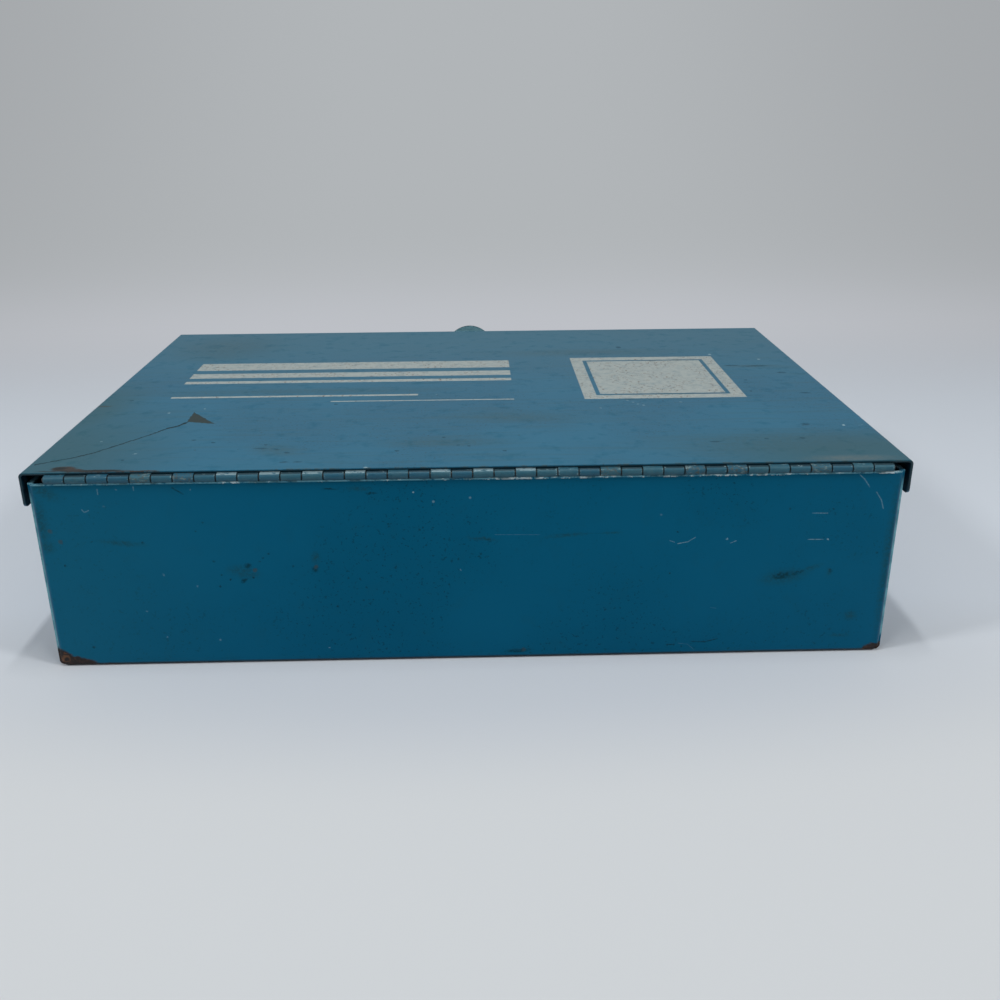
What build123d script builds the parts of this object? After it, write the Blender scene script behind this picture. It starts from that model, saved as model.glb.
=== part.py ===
from build123d import *
import os
from math import sqrt

# Wall first aid box: a folded steel tray, a lid on a long hinge and a snap hasp, in millimetres.
# It lies on its back. The base underside is z = 0, the hinge side faces -Y, the latch side +Y.

# Tray
CASE_LENGTH = 330.0
CASE_DEPTH = 232.0
CASE_HEIGHT = 81.5  # from the wall to the lid's outer face
SHEET = 0.9
BEND = 1.8  # outside radius of each fold
CORNER_FLAP = 12.0
CORNER_FOOT_GAP = 0.3
SCREW_SPACING_X = 254.0
SCREW_SPACING_Y = 152.0
SCREW_HOLE_RADIUS = 2.6

# Lid
LID_PLAY = 1.6  # between the tray's walls and the lid's flanges
FLANGE_DEPTH = 13.8
FLANGE_CORNER = 2.0  # rounding of each side flange's free corner
LID_EDGE_BEHIND_AXIS = 1.1

# Long hinge
LEAF = 0.6
LEAF_WIDTH = 12.5  # from the axis
HINGE_END_GAP = 6.2  # from each end of the tray to the hinge, before its shift
HINGE_SHIFT = 0.8  # the hinge was welded on this far off centre, towards +X
KNUCKLE_LENGTH = 8.0
KNUCKLE_GAP = 0.35
HINGE_PIN_RADIUS = 0.95
PIN_PLAY = 0.05
WALL_UNDER_BARREL = 0.1
LEAF_ROUND_BARREL = 0.2
PIN_END = 0.3  # each pin stands this far out of its last knuckle

# Rubber strips
GASKET_WIDTH = 7.2
GASKET_GAP = 0.3
GASKET_TO_LEAF = 1.0

# Keeper on the lid's front flange
KEEPER_SHEET = 0.6
KEEPER_LENGTH = 46.0
KEEPER_HEIGHT = 8.0
KEEPER_BELOW_LID = 7.7  # from the lid's outer face to the rib's middle
KEEPER_CORNER = 1.5
RIB_RADIUS = 1.3
RIB_LENGTH = 23.0
RIB_SINK = 0.2  # the rib's axis lies this far inside the strip's face
KEEPER_RIVET_SPACING = 36.0
KEEPER_RIVET_RADIUS = 1.2
KEEPER_RIVET_HEAD = 2.2

# Hasp, its bracket and its pin
PIVOT_HEIGHT = 50.0
HASP_TO_LID = 1.0
HASP_WIDTH = 26.0
HASP_NECK = 14.0
HASP_SHOULDER_GAP = 1.4
HASP_CORNER = 1.5
CORRUGATION_GAP = 0.35
TAB_ABOVE_LID = 1.7
TAB_LEAN = 38.0
TAB_LEAN_HEIGHT = 5.2  # the lean starts this far below the tip
TAB_INSIDE_BEND = 2.0
TAB_ROUND = 15.5
LATCH_PIN_RADIUS = 1.2
BARREL_TO_WALL = 0.2
LATCH_KNUCKLE_GAP = 0.15
BRACKET_SHEET = 0.8
BRACKET_WIDTH = 30.4
BRACKET_DROP = 19.0
BRACKET_CORNER = 3.0
BRACKET_RIVET_SPACING = 18.0
BRACKET_RIVET_DROP = 11.5
BRACKET_RIVET_RADIUS = 1.5
BRACKET_RIVET_HEAD = 2.5
RIVET_HEAD_HEIGHT = 1.1
RIVET_TAIL_HEIGHT = 0.8
RIVET_FIT = 0.03

# Places that follow from the sizes
WALL_X = CASE_LENGTH / 2
WALL_Y = CASE_DEPTH / 2
LID_UNDERSIDE = CASE_HEIGHT - SHEET
BORE_RADIUS = HINGE_PIN_RADIUS + PIN_PLAY
BARREL_RADIUS = BORE_RADIUS + LEAF
HINGE_Y = -(WALL_Y - SHEET) + LEAF - BARREL_RADIUS
HINGE_Z = LID_UNDERSIDE - BARREL_RADIUS
WALL_TOP = HINGE_Z - BARREL_RADIUS - WALL_UNDER_BARREL
HINGE_LENGTH = CASE_LENGTH - 2 * HINGE_END_GAP
KNUCKLES = 2 * round(HINGE_LENGTH / (2 * KNUCKLE_LENGTH))
KNUCKLE_PITCH = HINGE_LENGTH / KNUCKLES
LID_X = WALL_X + LID_PLAY + SHEET
LID_FRONT = WALL_Y + LID_PLAY + SHEET
LID_BACK = HINGE_Y + LID_EDGE_BEHIND_AXIS
GASKET_BOTTOM = WALL_TOP + GASKET_GAP
GASKET_BACK = HINGE_Y + LEAF_WIDTH + GASKET_TO_LEAF
RIB_Y = LID_FRONT + KEEPER_SHEET - RIB_SINK
RIB_Z = CASE_HEIGHT - KEEPER_BELOW_LID
HASP_INSIDE = LID_FRONT + HASP_TO_LID
HASP_OUTSIDE = HASP_INSIDE + SHEET
LATCH_BARREL_RADIUS = (HASP_OUTSIDE - WALL_Y - BARREL_TO_WALL) / 2
LATCH_BORE_RADIUS = LATCH_PIN_RADIUS + PIN_PLAY
PIVOT_Y = HASP_OUTSIDE - LATCH_BARREL_RADIUS
TAB_TIP = CASE_HEIGHT + TAB_ABOVE_LID


def block(x_span, y_span, z_span):
    """A plain block between two values on each axis."""
    spans = (x_span, y_span, z_span)
    size = [high - low for low, high in spans]
    middle = [(high + low) / 2 for low, high in spans]
    return Pos(*middle) * Box(*size)


def rod(radius, x_span, y, z):
    """A round bar along X."""
    low, high = x_span
    return Pos((low + high) / 2, y, z) * Rot(0, 90, 0) * Cylinder(radius, high - low)


def bent_sheet(plane, leg_across, leg_up, run):
    """Sheet with one fold. The outside corner of its section is at the origin of the plane."""
    outer = Pos(leg_across / 2, leg_up / 2) * Rectangle(leg_across, leg_up)
    outer = fillet(outer.vertices().sort_by_distance((0, 0, 0))[0], BEND)
    hollow = Rectangle(leg_across - SHEET, leg_up - SHEET)
    hollow = Pos((leg_across + SHEET) / 2, (leg_up + SHEET) / 2) * hollow
    hollow = fillet(hollow.vertices().sort_by_distance((0, 0, 0))[0], BEND - SHEET)
    return extrude(plane * (outer - hollow), run / 2, both=True)


def on_both_sides(shape, plane):
    """The shape and its mirror image, joined."""
    return shape + mirror(shape, plane)


def case_tray():
    """Base and walls folded from one blank, with corner flaps inside the side walls."""
    side_wall = bent_sheet(Plane.XZ, WALL_X, WALL_TOP, CASE_DEPTH - 2 * BEND)
    side_wall = Pos(-WALL_X, 0, 0) * side_wall
    flap_x = -WALL_X + SHEET  # outside face of the flap
    end_wall = bent_sheet(Plane.YZ, WALL_Y, WALL_TOP, 2 * (-flap_x - BEND))
    end_wall = Pos(0, -WALL_Y, 0) * end_wall
    foot = BEND + CORNER_FOOT_GAP
    corner = bent_sheet(Plane.XY, BEND + SHEET, CORNER_FLAP, WALL_TOP - foot)
    corner = Pos(flap_x, -WALL_Y, (WALL_TOP + foot) / 2) * corner
    corners = on_both_sides(on_both_sides(corner, Plane.YZ), Plane.XZ)
    tray = on_both_sides(side_wall, Plane.YZ) + on_both_sides(end_wall, Plane.XZ) + corners
    screws = GridLocations(SCREW_SPACING_X, SCREW_SPACING_Y, 2, 2)
    tray -= screws * Cylinder(SCREW_HOLE_RADIUS, 4 * SHEET)
    for x, z in bracket_rivet_places():
        tray -= rivet_hole(BRACKET_RIVET_RADIUS, x, WALL_Y, z)
    return tray


def lid_form(inset):
    """Block of the lid, its outer form or the hollow inside it, rounded along three edges."""
    half = LID_X - inset
    front = LID_FRONT - inset
    top = CASE_HEIGHT - inset
    bottom = CASE_HEIGHT - FLANGE_DEPTH - inset
    depth = front - LID_BACK + 2 * inset
    across = block((-half, half), (front - depth, front), (bottom, top))
    upper_edges = across.edges().group_by(Axis.Z)[-1]
    side_edges = upper_edges.filter_by(Axis.Y)
    across = fillet(side_edges, BEND - inset)
    along = block((-half, half), (front - depth, front), (bottom, top))
    front_edge = along.edges().group_by(Axis.Z)[-1].filter_by(Axis.X).sort_by(Axis.Y)[-1]
    along = fillet(front_edge, BEND - inset)
    return across & along


def lid_shell():
    """Flat top with three flanges and welded corners. The hinge edge is left raw."""
    lid = lid_form(0) - lid_form(SHEET)
    for x in (-LID_X, LID_X):
        corner = (x, LID_BACK, CASE_HEIGHT - FLANGE_DEPTH)
        lid = fillet(lid.edges().filter_by(Axis.X).sort_by_distance(corner)[0], FLANGE_CORNER)
    for x, z in keeper_rivet_places():
        lid -= rivet_hole(KEEPER_RIVET_RADIUS, x, LID_FRONT, z)
    return lid


def knuckle_span(number):
    """Low and high x of one knuckle, counted from -X."""
    low = -HINGE_LENGTH / 2 + number * KNUCKLE_PITCH
    return low + KNUCKLE_GAP / 2, low + KNUCKLE_PITCH - KNUCKLE_GAP / 2


def hinge_leaf(first_knuckle):
    """Leaf that lies along +Y from the top of its barrels, with every second knuckle.

    It is made on the hinge axis. The knuckles are rolled from the leaf, so each has its finger.
    """
    half = HINGE_LENGTH / 2
    root = BARREL_RADIUS + LEAF_ROUND_BARREL
    faces = (BARREL_RADIUS - LEAF, BARREL_RADIUS)
    leaf = block((-half, half), (root, LEAF_WIDTH), faces)
    knuckles = []
    for number in range(first_knuckle, KNUCKLES, 2):
        span = knuckle_span(number)
        knuckles.append(rod(BARREL_RADIUS, span, 0, 0) + block(span, (0, root), faces))
    leaf = leaf + knuckles
    return leaf - rod(BORE_RADIUS, (-half, half), 0, 0)


def hinge_leaf_lid():
    """Upper leaf, welded under the lid. The first knuckle at -X is its own."""
    return Pos(HINGE_SHIFT, HINGE_Y, HINGE_Z) * hinge_leaf(0)


def hinge_leaf_case():
    """Lower leaf, turned down inside the hinge wall."""
    return Pos(HINGE_SHIFT, HINGE_Y, HINGE_Z) * Rot(-90, 0, 0) * hinge_leaf(1)


def hinge_pin():
    """Wire through all the knuckles, staked at both ends."""
    half = HINGE_LENGTH / 2 + PIN_END
    return rod(HINGE_PIN_RADIUS, (HINGE_SHIFT - half, HINGE_SHIFT + half), HINGE_Y, HINGE_Z)


def gasket_front():
    """Rubber strip along the front, under the lid."""
    outside = LID_FRONT - BEND
    half = LID_X - BEND
    return block((-half, half), (outside - GASKET_WIDTH, outside), (GASKET_BOTTOM, LID_UNDERSIDE))


def gasket_side(side):
    """Rubber strip along one side, from the hinge leaf to the front strip."""
    outside = LID_X - BEND
    front = LID_FRONT - BEND - GASKET_WIDTH
    strip = block((outside - GASKET_WIDTH, outside), (GASKET_BACK, front), (GASKET_BOTTOM, LID_UNDERSIDE))
    return strip if side > 0 else mirror(strip, Plane.YZ)


def rivet_hole(shank_radius, x, y, z):
    """Cutter for a rivet through a wall that faces +Y."""
    return Pos(x, y, z) * Rot(90, 0, 0) * Cylinder(shank_radius + RIVET_FIT, 6 * SHEET)


def rivet(shank_radius, head_radius, x, z, y_span):
    """Rivet along Y: a domed head outside, a flat tail inside, and the shank between them."""
    inside, outside = y_span
    shank = Cylinder(shank_radius, outside - inside)
    head = Pos(0, 0, (outside - inside + RIVET_HEAD_HEIGHT) / 2)
    head = head * Cylinder(head_radius, RIVET_HEAD_HEIGHT)
    head = fillet(head.edges().group_by(Axis.Z)[-1], 0.8 * RIVET_HEAD_HEIGHT)
    tail = Pos(0, 0, -(outside - inside + RIVET_TAIL_HEIGHT) / 2)
    tail = tail * Cylinder(0.85 * head_radius, RIVET_TAIL_HEIGHT)
    tail = chamfer(tail.edges().group_by(Axis.Z)[0], 0.3 * RIVET_TAIL_HEIGHT)
    return Pos(x, (inside + outside) / 2, z) * Rot(-90, 0, 0) * (shank + head + tail)


def keeper_rivet_places():
    """x and z of the keeper's rivets."""
    return [(side * KEEPER_RIVET_SPACING / 2, RIB_Z) for side in (-1, 1)]


def bracket_rivet_places():
    """x and z of the bracket's rivets."""
    z = PIVOT_HEIGHT - BRACKET_RIVET_DROP
    return [(side * BRACKET_RIVET_SPACING / 2, z) for side in (-1, 1)]


def lid_keeper():
    """Strip on the front flange, with a round-ended rib pressed out of it."""
    half = KEEPER_LENGTH / 2
    faces = (LID_FRONT, LID_FRONT + KEEPER_SHEET)
    strip = block((-half, half), faces, (RIB_Z - KEEPER_HEIGHT / 2, RIB_Z + KEEPER_HEIGHT / 2))
    strip = fillet(strip.edges().filter_by(Axis.Y), KEEPER_CORNER)
    straight = RIB_LENGTH / 2 - RIB_RADIUS
    rib = rod(RIB_RADIUS, (-straight, straight), RIB_Y, RIB_Z)
    for end in (-straight, straight):
        rib += Pos(end, RIB_Y, RIB_Z) * Sphere(RIB_RADIUS)
    reach = RIB_Y + 2 * RIB_RADIUS
    rib = rib & block((-half, half), (LID_FRONT, reach), (RIB_Z - RIB_RADIUS, RIB_Z + RIB_RADIUS))
    keeper = strip + rib
    for x, z in keeper_rivet_places():
        keeper -= rivet_hole(KEEPER_RIVET_RADIUS, x, LID_FRONT, z)
    return keeper


def keeper_rivets():
    """Two rivets through the keeper and the flange."""
    y_span = (LID_FRONT - SHEET, LID_FRONT + KEEPER_SHEET)
    return [
        rivet(KEEPER_RIVET_RADIUS, KEEPER_RIVET_HEAD, x, z, y_span)
        for x, z in keeper_rivet_places()
    ]


def latch_bracket():
    """Plate on the front wall, rolled at its top into two knuckles."""
    half = BRACKET_WIDTH / 2
    inner = HASP_NECK / 2 + LATCH_KNUCKLE_GAP
    faces = (WALL_Y, WALL_Y + BRACKET_SHEET)
    plate = block((-half, half), faces, (PIVOT_HEIGHT - BRACKET_DROP, PIVOT_HEIGHT))
    plate = fillet(plate.edges().filter_by(Axis.Y).group_by(Axis.Z)[0], BRACKET_CORNER)
    opening = PIVOT_HEIGHT - LATCH_BARREL_RADIUS - 2 * LATCH_KNUCKLE_GAP
    plate -= block((-inner, inner), (WALL_Y - 1, WALL_Y + 3), (opening, PIVOT_HEIGHT + 1))
    for span in ((-half, -inner), (inner, half)):
        plate += rod(LATCH_BARREL_RADIUS, span, PIVOT_Y, PIVOT_HEIGHT)
    plate -= rod(LATCH_BORE_RADIUS, (-half, half), PIVOT_Y, PIVOT_HEIGHT)
    for x, z in bracket_rivet_places():
        plate -= rivet_hole(BRACKET_RIVET_RADIUS, x, WALL_Y, z)
    return plate


def bracket_rivets():
    """Two rivets through the bracket and the front wall."""
    y_span = (WALL_Y - SHEET, WALL_Y + BRACKET_SHEET)
    return [
        rivet(BRACKET_RIVET_RADIUS, BRACKET_RIVET_HEAD, x, z, y_span)
        for x, z in bracket_rivet_places()
    ]


def latch_pin():
    """Pin through the bracket's two knuckles and the hasp's one."""
    half = BRACKET_WIDTH / 2 + PIN_END
    return rod(LATCH_PIN_RADIUS, (-half, half), PIVOT_Y, PIVOT_HEIGHT)


def hasp_outline():
    """Front view of the hasp, cut through its whole thickness: neck, shoulders and round tab."""
    shoulder = PIVOT_HEIGHT + LATCH_BARREL_RADIUS + HASP_SHOULDER_GAP
    half = HASP_WIDTH / 2
    side_top = TAB_TIP - TAB_ROUND + sqrt(TAB_ROUND**2 - half**2)
    sides = Polyline((-half, side_top), (-half, shoulder), (half, shoulder), (half, side_top))
    top = ThreePointArc((-half, side_top), (0, TAB_TIP), (half, side_top))
    outline = make_face(sides + top)
    outline = fillet(outline.vertices(), HASP_CORNER)
    neck_foot = PIVOT_HEIGHT - LATCH_BARREL_RADIUS
    neck = Pos(0, (neck_foot + shoulder) / 2 + 1) * Rectangle(HASP_NECK, shoulder - neck_foot + 2)
    thickness = 4 * TAB_LEAN_HEIGHT
    return extrude(Plane.XZ.offset(-PIVOT_Y) * (outline + neck), thickness, both=True)


def latch_hasp():
    """Sheet hasp rolled round its pin, with a corrugation over the rib and a leaning tab."""
    lean_start = TAB_TIP - TAB_LEAN_HEIGHT
    middle = (HASP_INSIDE + HASP_OUTSIDE) / 2
    lean = Vector(0, 1).rotate(Axis.Z, -TAB_LEAN)
    tip = Vector(middle, lean_start) + lean * 2 * TAB_LEAN_HEIGHT
    path = FilletPolyline(
        (middle, PIVOT_HEIGHT),
        (middle, lean_start),
        (tip.X, tip.Y),
        radius=TAB_INSIDE_BEND + SHEET / 2,
    )
    sheet = extrude(Plane.YZ * trace(path, line_width=SHEET), HASP_WIDTH, both=True)
    span = (-HASP_WIDTH / 2, HASP_WIDTH / 2)
    hollow_radius = RIB_RADIUS + CORRUGATION_GAP
    bulge = rod(hollow_radius + SHEET, span, RIB_Y, RIB_Z)
    bulge = bulge & block(span, (HASP_INSIDE, HASP_OUTSIDE + 2 * RIB_RADIUS), (PIVOT_HEIGHT, TAB_TIP))
    sheet = (sheet + bulge) - rod(hollow_radius, span, RIB_Y, RIB_Z)
    sheet = sheet & hasp_outline()
    neck = (-HASP_NECK / 2, HASP_NECK / 2)
    sheet += rod(LATCH_BARREL_RADIUS, neck, PIVOT_Y, PIVOT_HEIGHT)
    return sheet - rod(LATCH_BORE_RADIUS, neck, PIVOT_Y, PIVOT_HEIGHT)


nodes = {
    "case_tray": case_tray(),
    "hinge_leaf_case": hinge_leaf_case(),
    "hinge_pin": hinge_pin(),
    "latch_bracket": latch_bracket(),
    "bracket_rivets": Compound(children=bracket_rivets()),
    "latch_pin": latch_pin(),
    "lid_shell": lid_shell(),
    "hinge_leaf_lid": hinge_leaf_lid(),
    "gasket_front": gasket_front(),
    "gasket_left": gasket_side(-1),
    "gasket_right": gasket_side(1),
    "lid_keeper": lid_keeper(),
    "keeper_rivets": Compound(children=keeper_rivets()),
    "latch_hasp": latch_hasp(),
}

os.makedirs("parts", exist_ok=True)
for name, shape in nodes.items():
    export_step(shape, f"parts/{name}.step")
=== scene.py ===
"""Looks of a wall first aid box: enamelled steel, lying on its back with the hinge side to the camera."""

import math

import bmesh
import bpy
from mathutils import Matrix, Vector


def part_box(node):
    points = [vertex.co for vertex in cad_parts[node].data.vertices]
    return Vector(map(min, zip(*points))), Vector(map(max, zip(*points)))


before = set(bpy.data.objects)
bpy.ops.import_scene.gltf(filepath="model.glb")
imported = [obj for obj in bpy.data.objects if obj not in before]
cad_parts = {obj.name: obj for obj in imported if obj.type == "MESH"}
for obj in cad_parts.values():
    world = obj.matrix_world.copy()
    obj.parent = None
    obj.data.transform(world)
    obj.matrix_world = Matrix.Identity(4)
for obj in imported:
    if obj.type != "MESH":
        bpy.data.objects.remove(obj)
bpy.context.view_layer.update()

# Tray
# A steel blank folded into a base and four walls, in a teal enamel that is still glossy on the
# walls. Long use has chipped its edges down to rust, most of all at the lower corners of the hinge
# wall, and has left scuffs, pale scratches and dark smudges on it. Places are in millimetres.
TEAL_DEEP = (3, 76, 107)
TEAL_LIGHT = (6, 82, 114)
TEAL_GREY = (22, 90, 116)
PALE_SCRATCH = (134, 164, 172)
OLIVE_SMUDGE = (24, 58, 66)
DARK_MARK_AND_SHADE = (8, 34, 44)
BROWN_SPOT = (58, 60, 58)
RIM_HIGHLIGHT = (110, 160, 174)
RIM_CHIP = (196, 212, 214)
RUST_DARK = (50, 34, 26)
RUST_BROWN = (76, 50, 36)
RUST_ORANGE = (140, 84, 46)
RUST_RING = (112, 76, 50)
GRIME = (14, 66, 82)
SCUFF_PALE = (70, 118, 134)
WORN_FOLD = (58, 78, 82)
FOLD_HIGHLIGHT = (132, 184, 194)
FOOT_SHADE = (2, 22, 36)
TEAL_GLOSS_TINT = [0.05, 0.7, 1.0, 1.0]
TRAY_LOW, TRAY_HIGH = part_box("case_tray")
WALL_FACE = TRAY_LOW.y * 1000  # outside of the hinge wall
WALL_TOP = TRAY_HIGH.z * 1000
SIDE_FACE = TRAY_HIGH.x * 1000


def connect(tree, node, inputs):
    """Gives a node its inputs. Each is a value, or an output socket to link from."""
    for key, value in inputs.items():
        if isinstance(value, bpy.types.NodeSocket):
            tree.links.new(value, node.inputs[key])
        else:
            node.inputs[key].default_value = value


def add(tree, kind, inputs=None, **settings):
    """A shader node with its settings and inputs."""
    node = tree.nodes.new("ShaderNode" + kind)
    for name, value in settings.items():
        setattr(node, name, value)
    connect(tree, node, inputs or {})
    return node


def calc(tree, operation, *values):
    """Result of a Math node."""
    return add(tree, "Math", dict(enumerate(values)), operation=operation).outputs[0]


def vector_calc(tree, operation, *values):
    """Result of a Vector Math node that gives a vector."""
    return add(tree, "VectorMath", dict(enumerate(values)), operation=operation).outputs[0]


def dot_product(tree, one, other):
    """Dot product of two vectors, as a value."""
    return add(tree, "VectorMath", {0: one, 1: other}, operation="DOT_PRODUCT").outputs["Value"]


def fade(tree, value, start, end):
    """0 where the value is at the start or before it, 1 at the end, and smooth in between."""
    inputs = {"Value": value, "From Min": start, "From Max": end}
    return add(tree, "MapRange", inputs, interpolation_type="SMOOTHSTEP").outputs[0]


def noise(tree, place, size, detail=2.0, roughness=0.5):
    """Smooth noise of 0 to 1 whose lumps are about that size."""
    inputs = {"Vector": place, "Scale": 1 / size, "Detail": detail, "Roughness": roughness}
    return add(tree, "TexNoise", inputs).outputs["Fac"]


def product(tree, *masks):
    """Several masks and strengths multiplied."""
    result = masks[0]
    for mask in masks[1:]:
        result = calc(tree, "MULTIPLY", result, mask)
    return result


def largest(tree, *masks):
    """The largest of several masks."""
    result = masks[0]
    for mask in masks[1:]:
        result = calc(tree, "MAXIMUM", result, mask)
    return result


def srgb(colour):
    """A colour of 0 to 255 as the linear one of a shader."""
    parts = [value / 255 for value in colour]
    return [*(((v + 0.055) / 1.055) ** 2.4 if v > 0.04045 else v / 12.92 for v in parts), 1.0]


def over(tree, under, colour, mask):
    """One colour laid over another where the mask is 1."""
    if not isinstance(under, bpy.types.NodeSocket):
        under = srgb(under)
    if not isinstance(colour, bpy.types.NodeSocket):
        colour = srgb(colour)
    return add(tree, "Mix", {0: mask, 6: under, 7: colour}, data_type="RGBA").outputs[2]


def new_group(name, inputs, outputs):
    """An empty node group with its sockets, as the tree, its inputs and its output node."""
    tree = bpy.data.node_groups.new(name, "ShaderNodeTree")
    for socket, kind in inputs.items():
        tree.interface.new_socket(socket, in_out="INPUT", socket_type="NodeSocket" + kind)
    for socket, kind in outputs.items():
        tree.interface.new_socket(socket, in_out="OUTPUT", socket_type="NodeSocket" + kind)
    return tree, tree.nodes.new("NodeGroupInput").outputs, tree.nodes.new("NodeGroupOutput")


def use(tree, group, inputs):
    """Outputs of a node group placed in a material."""
    node = tree.nodes.new("ShaderNodeGroup")
    node.node_tree = group
    connect(tree, node, inputs)
    return node.outputs


def spot_group():
    """One oval spot on a face, with a rim as soft as asked. Its two axes are as long as 1 / size."""
    sockets = {"Place": "Vector", "Centre": "Vector", "Along": "Vector", "Across": "Vector", "Soft": "Float"}
    tree, given, result = new_group("spot", sockets, {"Mask": "Float"})
    from_centre = vector_calc(tree, "SUBTRACT", given["Place"], given["Centre"])
    length = dot_product(tree, from_centre, given["Along"])
    width = dot_product(tree, from_centre, given["Across"])
    squares = calc(tree, "MULTIPLY_ADD", length, length, calc(tree, "MULTIPLY", width, width))
    outside = calc(tree, "ADD", 1.0, given["Soft"])
    inside = calc(tree, "SUBTRACT", 1.0, given["Soft"])
    tree.links.new(fade(tree, calc(tree, "SQRT", squares), outside, inside), result.inputs["Mask"])
    return tree


def stroke_group():
    """One straight stroke of a scratch on a face, with round ends."""
    sockets = {"Place": "Vector", "Start": "Vector", "Along": "Vector", "Half Width": "Float"}
    tree, given, result = new_group("stroke", sockets, {"Mask": "Float"})
    from_start = vector_calc(tree, "SUBTRACT", given["Place"], given["Start"])
    reached = dot_product(tree, from_start, given["Along"])
    whole = dot_product(tree, given["Along"], given["Along"])
    share = add(tree, "Math", {0: reached, 1: whole}, operation="DIVIDE", use_clamp=True).outputs[0]
    nearest = add(tree, "VectorMath", {0: given["Along"], "Scale": share}, operation="SCALE").outputs[0]
    away = vector_calc(tree, "SUBTRACT", from_start, nearest)
    distance = add(tree, "VectorMath", {0: away}, operation="LENGTH").outputs["Value"]
    past_rim = calc(tree, "SUBTRACT", distance, given["Half Width"])
    tree.links.new(fade(tree, past_rim, 0.12, -0.12), result.inputs["Mask"])
    return tree


def edge_group():
    """Distances from a box's nearest edge and nearest corner, for wear that follows the folds."""
    sockets = {"Place": "Vector", "Low": "Vector", "High": "Vector"}
    tree, given, result = new_group("edges", sockets, {"Edge": "Float", "Corner": "Float"})
    from_low = vector_calc(tree, "SUBTRACT", given["Place"], given["Low"])
    from_high = vector_calc(tree, "SUBTRACT", given["High"], given["Place"])
    nearest = vector_calc(tree, "MINIMUM", from_low, from_high)
    x, y, z = add(tree, "SeparateXYZ", {0: nearest}).outputs
    low_pair = calc(tree, "MINIMUM", x, y)
    high_pair = calc(tree, "MAXIMUM", x, y)
    middle = calc(tree, "MAXIMUM", low_pair, calc(tree, "MINIMUM", high_pair, z))
    tree.links.new(middle, result.inputs["Edge"])
    tree.links.new(calc(tree, "MAXIMUM", high_pair, z), result.inputs["Corner"])
    return tree


def enamel_group():
    """Aged enamel: cloudy tone, specks, orange peel, and scuffs and smudges where asked."""
    sockets = {"Place": "Vector", "Deep": "Color", "Light": "Color", "Scuffs": "Float"}
    outputs = {"Colour": "Color", "Dull": "Float", "Height": "Float"}
    tree, given, result = new_group("aged_enamel", sockets, outputs)
    place = given["Place"]
    cloud = noise(tree, place, 70, 3)
    colour = over(tree, given["Deep"], given["Light"], fade(tree, cloud, 0.3, 0.7))
    grime = fade(tree, noise(tree, place, 9, 5, 0.65), 0.5, 0.74)
    colour = over(tree, colour, GRIME, product(tree, grime, 0.14))
    lengthwise = vector_calc(tree, "MULTIPLY", place, (0.2, 0.2, 1.0))
    scuffs = fade(tree, noise(tree, lengthwise, 1.8, 5, 0.7), 0.6, 0.68)
    where = fade(tree, noise(tree, place, 40, 2), 0.52, 0.62)
    colour = over(tree, colour, SCUFF_PALE, product(tree, scuffs, where, given["Scuffs"], 0.5))
    smudges = fade(tree, noise(tree, place, 22, 4, 0.6), 0.6, 0.72)
    colour = over(tree, colour, OLIVE_SMUDGE, product(tree, smudges, given["Scuffs"], 0.5))
    specks = []
    for cell, chance, reach in ((7.0, 0.45, 0.06), (14.0, 0.84, 0.035)):
        inputs = {"Vector": place, "Scale": 1 / cell}
        cells = add(tree, "TexVoronoi", inputs, voronoi_dimensions="3D")
        pick, size, strength = add(tree, "SeparateXYZ", {0: cells.outputs["Color"]}).outputs
        picked = fade(tree, pick, chance, chance + 0.01)
        radius = calc(tree, "MULTIPLY_ADD", size, reach, 0.01)
        dot = fade(tree, calc(tree, "SUBTRACT", cells.outputs["Distance"], radius), 0.014, -0.014)
        specks.append(product(tree, dot, picked, fade(tree, strength, -0.4, 0.8)))
    grit = fade(tree, noise(tree, place, 1.2, 3, 0.6), 0.6, 0.67)
    colour = over(tree, colour, DARK_MARK_AND_SHADE, product(tree, grit, fade(tree, cloud, 0.6, 0.44), 0.6))
    colour = over(tree, colour, DARK_MARK_AND_SHADE, product(tree, specks[0], 0.75))
    colour = over(tree, colour, PALE_SCRATCH, product(tree, specks[1], 0.4))
    dull = calc(tree, "ADD", product(tree, grime, 0.12), product(tree, cloud, 0.1))
    peel = product(tree, noise(tree, place, 2.4, 2), 0.012)
    height = calc(tree, "SUBTRACT", peel, product(tree, specks[0], 0.03))
    for name, socket in (("Colour", colour), ("Dull", dull), ("Height", height)):
        tree.links.new(socket, result.inputs[name])
    return tree


def rust_group():
    """Rust where the enamel has gone: near black, with brown scale and a little orange bloom."""
    outputs = {"Colour": "Color", "Height": "Float"}
    tree, given, result = new_group("rust", {"Place": "Vector", "Bloom": "Float"}, outputs)
    scale = noise(tree, given["Place"], 1.6, 5, 0.7)
    colour = over(tree, RUST_DARK, RUST_BROWN, fade(tree, scale, 0.45, 0.68))
    bloom = fade(tree, noise(tree, given["Place"], 2.6, 3, 0.6), 0.58, 0.7)
    colour = over(tree, colour, RUST_ORANGE, product(tree, bloom, given["Bloom"]))
    tree.links.new(colour, result.inputs["Colour"])
    tree.links.new(product(tree, scale, 0.08), result.inputs["Height"])
    return tree


SPOT = spot_group()
STROKE = stroke_group()
EDGES = edge_group()
ENAMEL = enamel_group()
RUST = rust_group()


def ragged(tree, place, size, reach):
    """The place moved to and fro, so that what is drawn on it gets a ragged rim."""
    inputs = {"Vector": place, "Scale": 1 / size, "Detail": 3.0, "Roughness": 0.6}
    shift = add(tree, "TexNoise", inputs).outputs["Color"]
    shift = vector_calc(tree, "SUBTRACT", shift, (0.5, 0.5, 0.5))
    return vector_calc(tree, "MULTIPLY_ADD", shift, (reach, reach, reach), place)


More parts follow.
